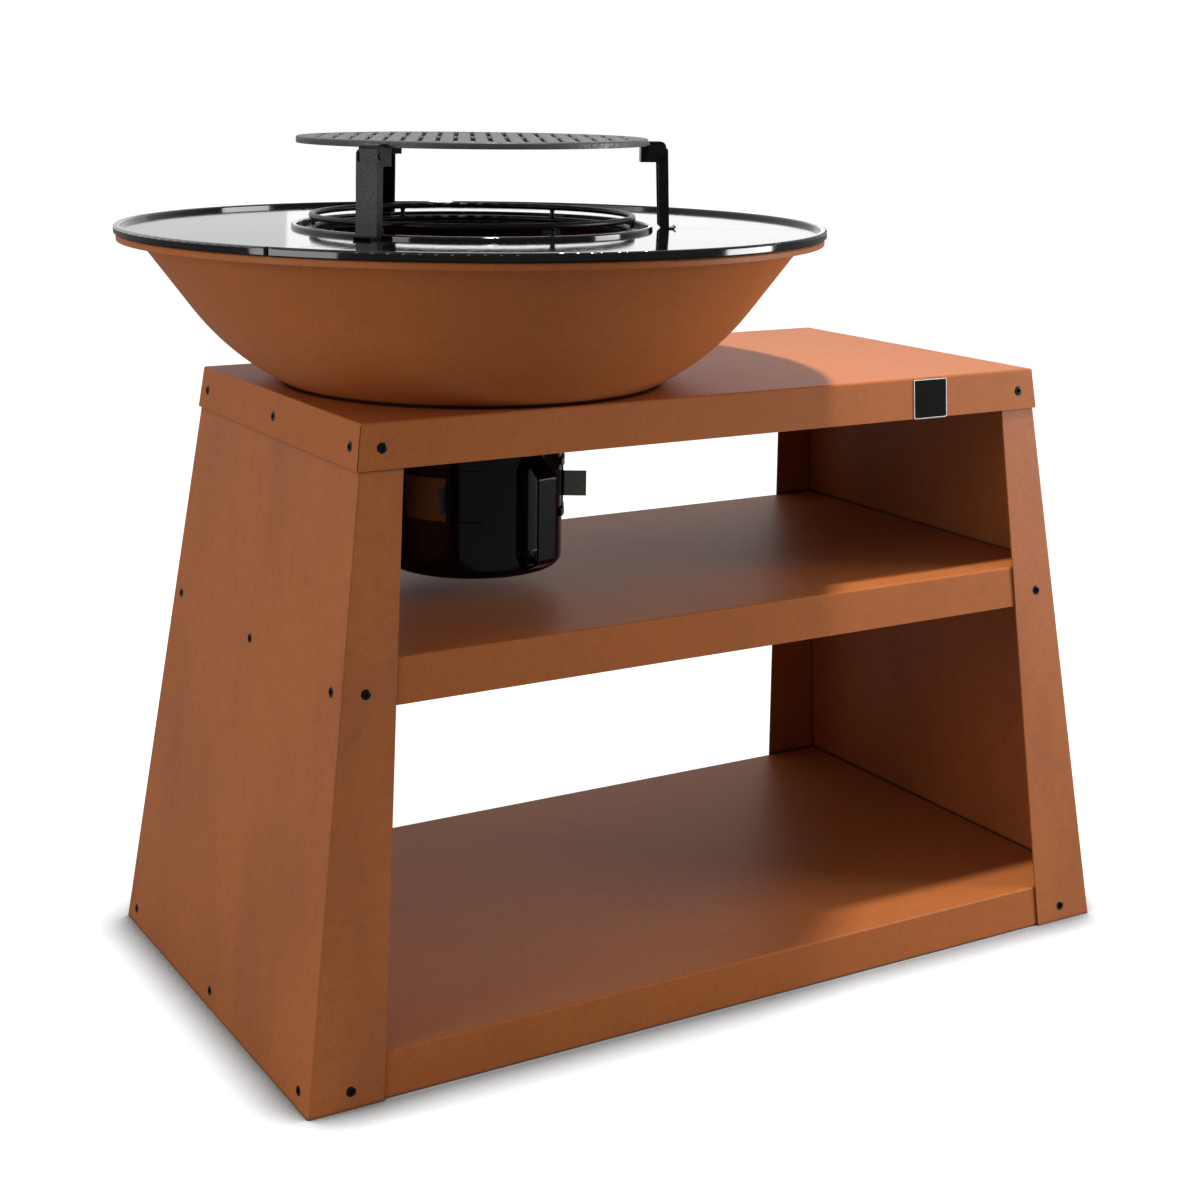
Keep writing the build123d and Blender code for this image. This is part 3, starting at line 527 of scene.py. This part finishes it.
class FIREBOWL_OT_finishes(Operator):
    """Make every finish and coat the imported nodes"""

    bl_idname = "firebowl.finishes"
    bl_label = "Finishes"

    def execute(self, context):
        colours, sizes = context.scene.firebowl_colours, context.scene.firebowl_sizes
        even = rust_powder_coat("rust_effect_powder_coat", colours, sizes, 0.15, 0.15)
        assign(even, "top_panel", "middle_shelf", "bottom_shelf", "fire_bowl")
        worn = rust_powder_coat("handled_rust_effect_powder_coat", colours, sizes, 0.4, 0.27)
        assign(worn, "left_side_panel", "right_side_panel")
        peel = sizes.enamel_peel
        griddle = fired_enamel("gloss_griddle_enamel", colours.enamel, 0.07, peel, 0.01 * MM)
        assign(griddle, *(f"griddle_segment_{number}" for number in (1, 2, 3)))
        assign(fired_enamel("satin_grate_enamel", colours.grate, 0.5, 3 * MM, 0.03 * MM), "grate_plate")
        bucket = fired_enamel("gloss_bucket_enamel", colours.enamel, 0.1, 2 * peel, 0.02 * MM, 0.2)
        assign(bucket, "ash_bucket", "bucket_handle", "handle_rivets")
        assign(bucket, "shutter_guides_left", "shutter_guides_right")
        coat = heatproof_coat(colours, sizes)
        assign(coat, "griddle_support", "guard_lower_ring", "guard_upper_ring", "guard_posts", "grate_pins")
        assign(coat, *(f"grate_{piece}_{number}" for piece in ("shoe", "leg") for number in (1, 2, 3)))
        assign(coat, "bucket_rail_left", "bucket_rail_right", "bucket_stop")
        assign(mill_scale(colours), "fire_grate", "ash_chute", "ash_grid")
        zinc = zinc_plate(colours)
        assign(zinc, "top_panel_nuts", "middle_shelf_nuts", "bottom_shelf_nuts", "bowl_bolts", "bowl_nuts")
        assign(brushed_stainless(colours, sizes), "vent_shutter_left", "vent_shutter_right")
        black_oxide(colours)
        anodised_field(colours, sizes)
        bare_aluminium(colours, sizes)
        return {"FINISHED"}


class FIREBOWL_OT_screws(Operator):
    """Put a button-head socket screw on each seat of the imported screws"""

    bl_idname = "firebowl.screws"
    bl_label = "Button-head screws"

    def execute(self, context):
        rings = screw_rings(context.scene.firebowl_sizes)
        for node in ("top_panel_screws", "middle_shelf_screws", "bottom_shelf_screws"):
            packed, groups = islands(node)
            mesh = bmesh.new()
            for number, group in enumerate(groups):
                seat, down = widest_plane(group)
                turn = Matrix.Rotation(SOCKET_TURN * number, 4, "Z")
                stand_up = (-down).to_track_quat("Z", "Y").to_matrix().to_4x4()
                lathed(mesh, rings, Matrix.Translation(seat) @ stand_up @ turn)
            packed.free()
            piece = finish_piece(
                "button_head_" + node, mesh, material_named("black_oxide_steel"), "stand"
            )
            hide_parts(node)
        return {"FINISHED"}


class FIREBOWL_OT_badge(Operator):
    """Put a plain rimmed plate on the top panel's front flange"""

    bl_idname = "firebowl.badge"
    bl_label = "Plain badge plate"

    def execute(self, context):
        sizes = context.scene.firebowl_sizes
        packed, groups = islands("top_panel")
        centre, outward = widest_plane(groups[0], Vector((0, -1, 0)))
        packed.free()
        low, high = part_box("top_panel")
        across = Vector((1, 0, 0))
        plane = Matrix((across, outward.cross(across), outward)).transposed().to_4x4()
        plane.translation = Vector((high.x - sizes.badge_inset, centre.y, centre.z))
        mesh = bmesh.new()
        half_x, half_y, corner = sizes.badge_width / 2, sizes.badge_height / 2, sizes.badge_corner
        bevel, recess, top, rim = 0.3 * MM, 0.2 * MM, sizes.badge_thickness, sizes.badge_rim
        levels = []
        for inset, height in (
            (0.0, 0.0), (0.0, top - bevel), (bevel, top), (rim, top), (rim + recess, top - recess)
        ):
            level, radius = [], max(corner - inset, bevel)
            for x_hand, y_hand, start in ((1, 1, 0.0), (-1, 1, pi / 2), (-1, -1, pi), (1, -1, 3 * pi / 2)):
                for step in range(CORNER_STEPS + 1):
                    angle = start + pi / 2 * step / CORNER_STEPS
                    x = x_hand * (half_x - inset - radius) + radius * cos(angle)
                    y = y_hand * (half_y - inset - radius) + radius * sin(angle)
                    level.append((x, y, height))
            levels.append(level)
        loops = bridged(mesh, levels, plane)
        mesh.faces.new(reversed(loops[0]))
        field = mesh.faces.new(loops[-1])
        field.material_index = 1
        piece = finish_piece(
            "badge_plate", mesh, material_named("bare_milled_aluminium"), "stand"
        )
        piece.data.materials.append(material_named("black_anodised_aluminium"))
        return {"FINISHED"}


def slot_loop(middle, straight, radius):
    """Outline of one round-ended slot about a middle point, from its straight half length and radius."""
    loop = []
    for side in (1, -1):
        for step in range(SLOT_STEPS + 1):
            angle = pi * step / SLOT_STEPS
            x, y = side * radius * cos(angle), side * (straight + radius * sin(angle))
            loop.append((middle[0] + x, middle[1] + y))
    return loop


def grate_loops(sizes, radius, inset):
    """Outlines of the grate's slots, widened by the inset of their rounded edges."""
    half = sizes.slot_width / 2
    reach = radius - sizes.slot_margin
    last = int((reach - 2 * half) / sizes.slot_pitch)
    loops = []
    for index in range(-last, last + 1):
        offset = index * sizes.slot_pitch
        extent = (reach**2 - offset**2) ** 0.5 - sizes.slot_spine / 2
        for side in (-1, 1):
            middle = (offset, side * (sizes.slot_spine + extent) / 2)
            loops.append(slot_loop(middle, extent / 2 - half, half + inset))
    return loops


class FIREBOWL_OT_grate(Operator):
    """Make the raised grate's slotted plate with rounded rim and slots"""

    bl_idname = "firebowl.grate"
    bl_label = "Slotted grate"

    def execute(self, context):
        sizes = context.scene.firebowl_sizes
        low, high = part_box("grate_plate")
        radius, centre = (high.x - low.x) / 2, (low + high) / 2
        place = Matrix.Translation((centre.x, centre.y, 0)) @ Matrix.Rotation(sizes.slot_turn, 4, "Z")
        under, bend = high.z - sizes.grate_thickness, sizes.grate_round
        arcs = [pi / 2 * step / ROUND_STEPS for step in range(ROUND_STEPS + 1)]
        rounding = [(bend * (1 - cos(arc)), high.z - bend + bend * sin(arc)) for arc in arcs]
        rim = [(sizes.grate_rim, under), (sizes.grate_rim, low.z), (0.0, low.z)]
        turns = [tau * index / RIM_STEPS for index in range(RIM_STEPS)]
        outer = [
            [(cos(turn) * (radius - inset), sin(turn) * (radius - inset), z) for turn in turns]
            for inset, z in rim + rounding
        ]
        slots = zip(*(
            [[(x, y, z) for x, y in loop] for loop in grate_loops(sizes, radius, inset)]
            for inset, z in [(0.0, under)] + rounding
        ))
        mesh = bmesh.new()
        bottom, top = [], []
        for levels in (outer, *slots):
            loops = bridged(mesh, levels, place)
            for edges, loop in ((bottom, loops[0]), (top, loops[-1])):
                edges += [mesh.edges.get(pair) for pair in zip(loop, loop[1:] + loop[:1])]
        for edges in (bottom, top):
            bmesh.ops.triangle_fill(mesh, edges=edges, use_beauty=True)
        bmesh.ops.recalc_face_normals(mesh, faces=mesh.faces)
        piece = finish_piece(
            "slotted_grate", mesh, material_named("satin_grate_enamel"), "grate", 50
        )
        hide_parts("grate_plate")
        return {"FINISHED"}


class FIREBOWL_OT_weld_beads(Operator):
    """Run a weld bead round both ends of each post of the fire guard"""

    bl_idname = "firebowl.weld_beads"
    bl_label = "Guard weld beads"

    def execute(self, context):
        bead = context.scene.firebowl_sizes.weld_bead
        levels = []
        for node, side in (("guard_lower_ring", 1), ("guard_upper_ring", -1)):
            low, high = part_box(node)
            levels.append((high.z if side > 0 else low.z, side))
        packed, groups = islands("guard_posts")
        mesh = bmesh.new()
        for group in groups:
            points = [vertex.co for face in group for vertex in face.verts]
            low = Vector([min(point[axis] for point in points) for axis in range(3)])
            high = Vector([max(point[axis] for point in points) for axis in range(3)])
            middle, radius = (low + high) / 2, (high.x - low.x) / 2
            for level, side in levels:
                rings = [
                    (radius * 0.6, -0.9 * bead), (radius + bead * 0.75, -0.9 * bead),
                    (radius + bead * 0.8, -0.3 * bead), (radius + bead * 0.45, 0.25 * bead),
                    (radius + bead * 0.1, 0.8 * bead), (radius * 0.6, bead),
                ]
                turn = Matrix.Rotation(0 if side > 0 else pi, 4, "X")
                lathed(mesh, rings, Matrix.Translation((middle.x, middle.y, level)) @ turn, 24)
        packed.free()
        coat = material_named("heatproof_black_coat")
        finish_piece("guard_weld_beads", mesh, coat, "guard", 60)
        return {"FINISHED"}


class FIREBOWL_OT_studio(Operator):
    """Lay the white floor and set the world, the lamps and the camera"""

    bl_idname = "firebowl.studio"
    bl_label = "Studio"

    def execute(self, context):
        scene, studio = context.scene, context.scene.firebowl_studio
        scene.view_settings.view_transform = "Standard"
        self.floor(scene)
        self.world(scene, studio)
        key = bpy.data.lights.new("key", "AREA")
        key.shape, key.size, key.energy = "DISK", studio.key_size, studio.key_power
        self.lamp(scene, key, Vector(studio.key_place), Vector((0, 0, -1)))
        for name, size, place, target in SOFT_LAMPS:
            soft = bpy.data.lights.new(name, "AREA")
            soft.shape, (soft.size, soft.size_y) = "RECTANGLE", size
            soft.energy = getattr(studio, name + "_power")
            self.lamp(scene, soft, Vector(place), Vector(target) - Vector(place))
        camera = bpy.data.cameras.new("camera")
        camera.lens, camera.sensor_width = studio.lens, 36.0
        camera.shift_x, camera.shift_y = studio.shift_x, studio.shift_y
        holder = bpy.data.objects.new("camera", camera)
        turn = Matrix.Rotation(studio.heading, 4, "Z") @ Matrix.Rotation(pi / 2 - studio.tilt, 4, "X")
        holder.matrix_world = Matrix.Translation(studio.eye) @ turn @ Matrix.Rotation(studio.roll, 4, "Z")
        scene.collection.objects.link(holder)
        scene.camera = holder
        return {"FINISHED"}

    def floor(self, scene):
        """A wide flat sheet of paper under the object."""
        mesh = bmesh.new()
        bmesh.ops.create_grid(mesh, x_segments=8, y_segments=8, size=FLOOR_REACH)
        data = bpy.data.meshes.new("floor")
        mesh.to_mesh(data)
        mesh.free()
        data.materials.append(paper(scene.firebowl_colours, scene.firebowl_studio))
        floor = bpy.data.objects.new("floor", data)
        scene.collection.objects.link(floor)

    def world(self, scene, studio):
        """White to the eye. It fills diffuse surfaces mostly from overhead, and gloss sees a bright wall
        behind the object and a dim room in front of it."""
        world = bpy.data.worlds.new("studio")
        world.use_nodes = True
        scene.world = world
        tree = world.node_tree
        tree.nodes.clear()
        way = add_node(tree, "ShaderNodeTexCoord").outputs["Generated"]
        parts = add_node(tree, "ShaderNodeSeparateXYZ", {}, {0: way}).outputs
        fill = span(tree, parts["Z"], -0.1, 0.8, studio.sky_low, studio.sky_high)
        backdrop = span(tree, parts["Y"], -0.3, 0.5, studio.room_shine, studio.wall_shine)
        path = add_node(tree, "ShaderNodeLightPath").outputs
        rays = {0: path["Is Camera Ray"], 1: path["Is Transmission Ray"]}
        seen = add_node(tree, "ShaderNodeMath", {"operation": "MAXIMUM"}, rays)
        gloss = add_node(tree, "ShaderNodeMix", {}, {0: path["Is Glossy Ray"], 2: fill, 3: backdrop})
        strength = add_node(tree, "ShaderNodeMix", {3: 1.0}, {0: seen.outputs[0], 2: gloss.outputs[0]})
        glow = add_node(
            tree, "ShaderNodeBackground", {"Color": (1, 1, 1, 1)}, {"Strength": strength.outputs[0]}
        )
        add_node(tree, "ShaderNodeOutputWorld", {}, {"Surface": glow.outputs["Background"]})

    def lamp(self, scene, data, place, travel):
        """Hangs a lamp at a place, shining along a direction."""
        lamp = bpy.data.objects.new(data.name, data)
        lamp.location = place
        lamp.rotation_euler = travel.to_track_quat("-Z", "Y").to_euler()
        scene.collection.objects.link(lamp)


class FIREBOWL_PT_sidebar(Panel):
    """Lists the steps of the fire-bowl griddle"""

    bl_idname = "FIREBOWL_PT_sidebar"
    bl_label = "Fire bowl"
    bl_space_type = "VIEW_3D"
    bl_region_type = "UI"
    bl_category = "Fire bowl"

    def draw(self, context):
        for step in STEPS:
            self.layout.operator(step.bl_idname)
        for group in SETTINGS:
            settings = getattr(context.scene, group)
            for name in settings.__annotations__:
                self.layout.prop(settings, name)


SETTINGS = {
    "firebowl_colours": FireBowlColours,
    "firebowl_sizes": FireBowlSizes,
    "firebowl_studio": FireBowlStudio,
}
STEPS = (
    FIREBOWL_OT_finishes,
    FIREBOWL_OT_screws,
    FIREBOWL_OT_badge,
    FIREBOWL_OT_grate,
    FIREBOWL_OT_weld_beads,
    FIREBOWL_OT_studio,
)
CLASSES = (*SETTINGS.values(), *STEPS, FIREBOWL_PT_sidebar)


def register():
    for each in CLASSES:
        bpy.utils.register_class(each)
    for name, group in SETTINGS.items():
        setattr(bpy.types.Scene, name, PointerProperty(type=group))


def unregister():
    for name in SETTINGS:
        delattr(bpy.types.Scene, name)
    for each in reversed(CLASSES):
        bpy.utils.unregister_class(each)


def main():
    register()
    for step in STEPS:
        family, name = step.bl_idname.split(".")
        getattr(getattr(bpy.ops, family), name)()


if __name__ == "__main__":
    main()
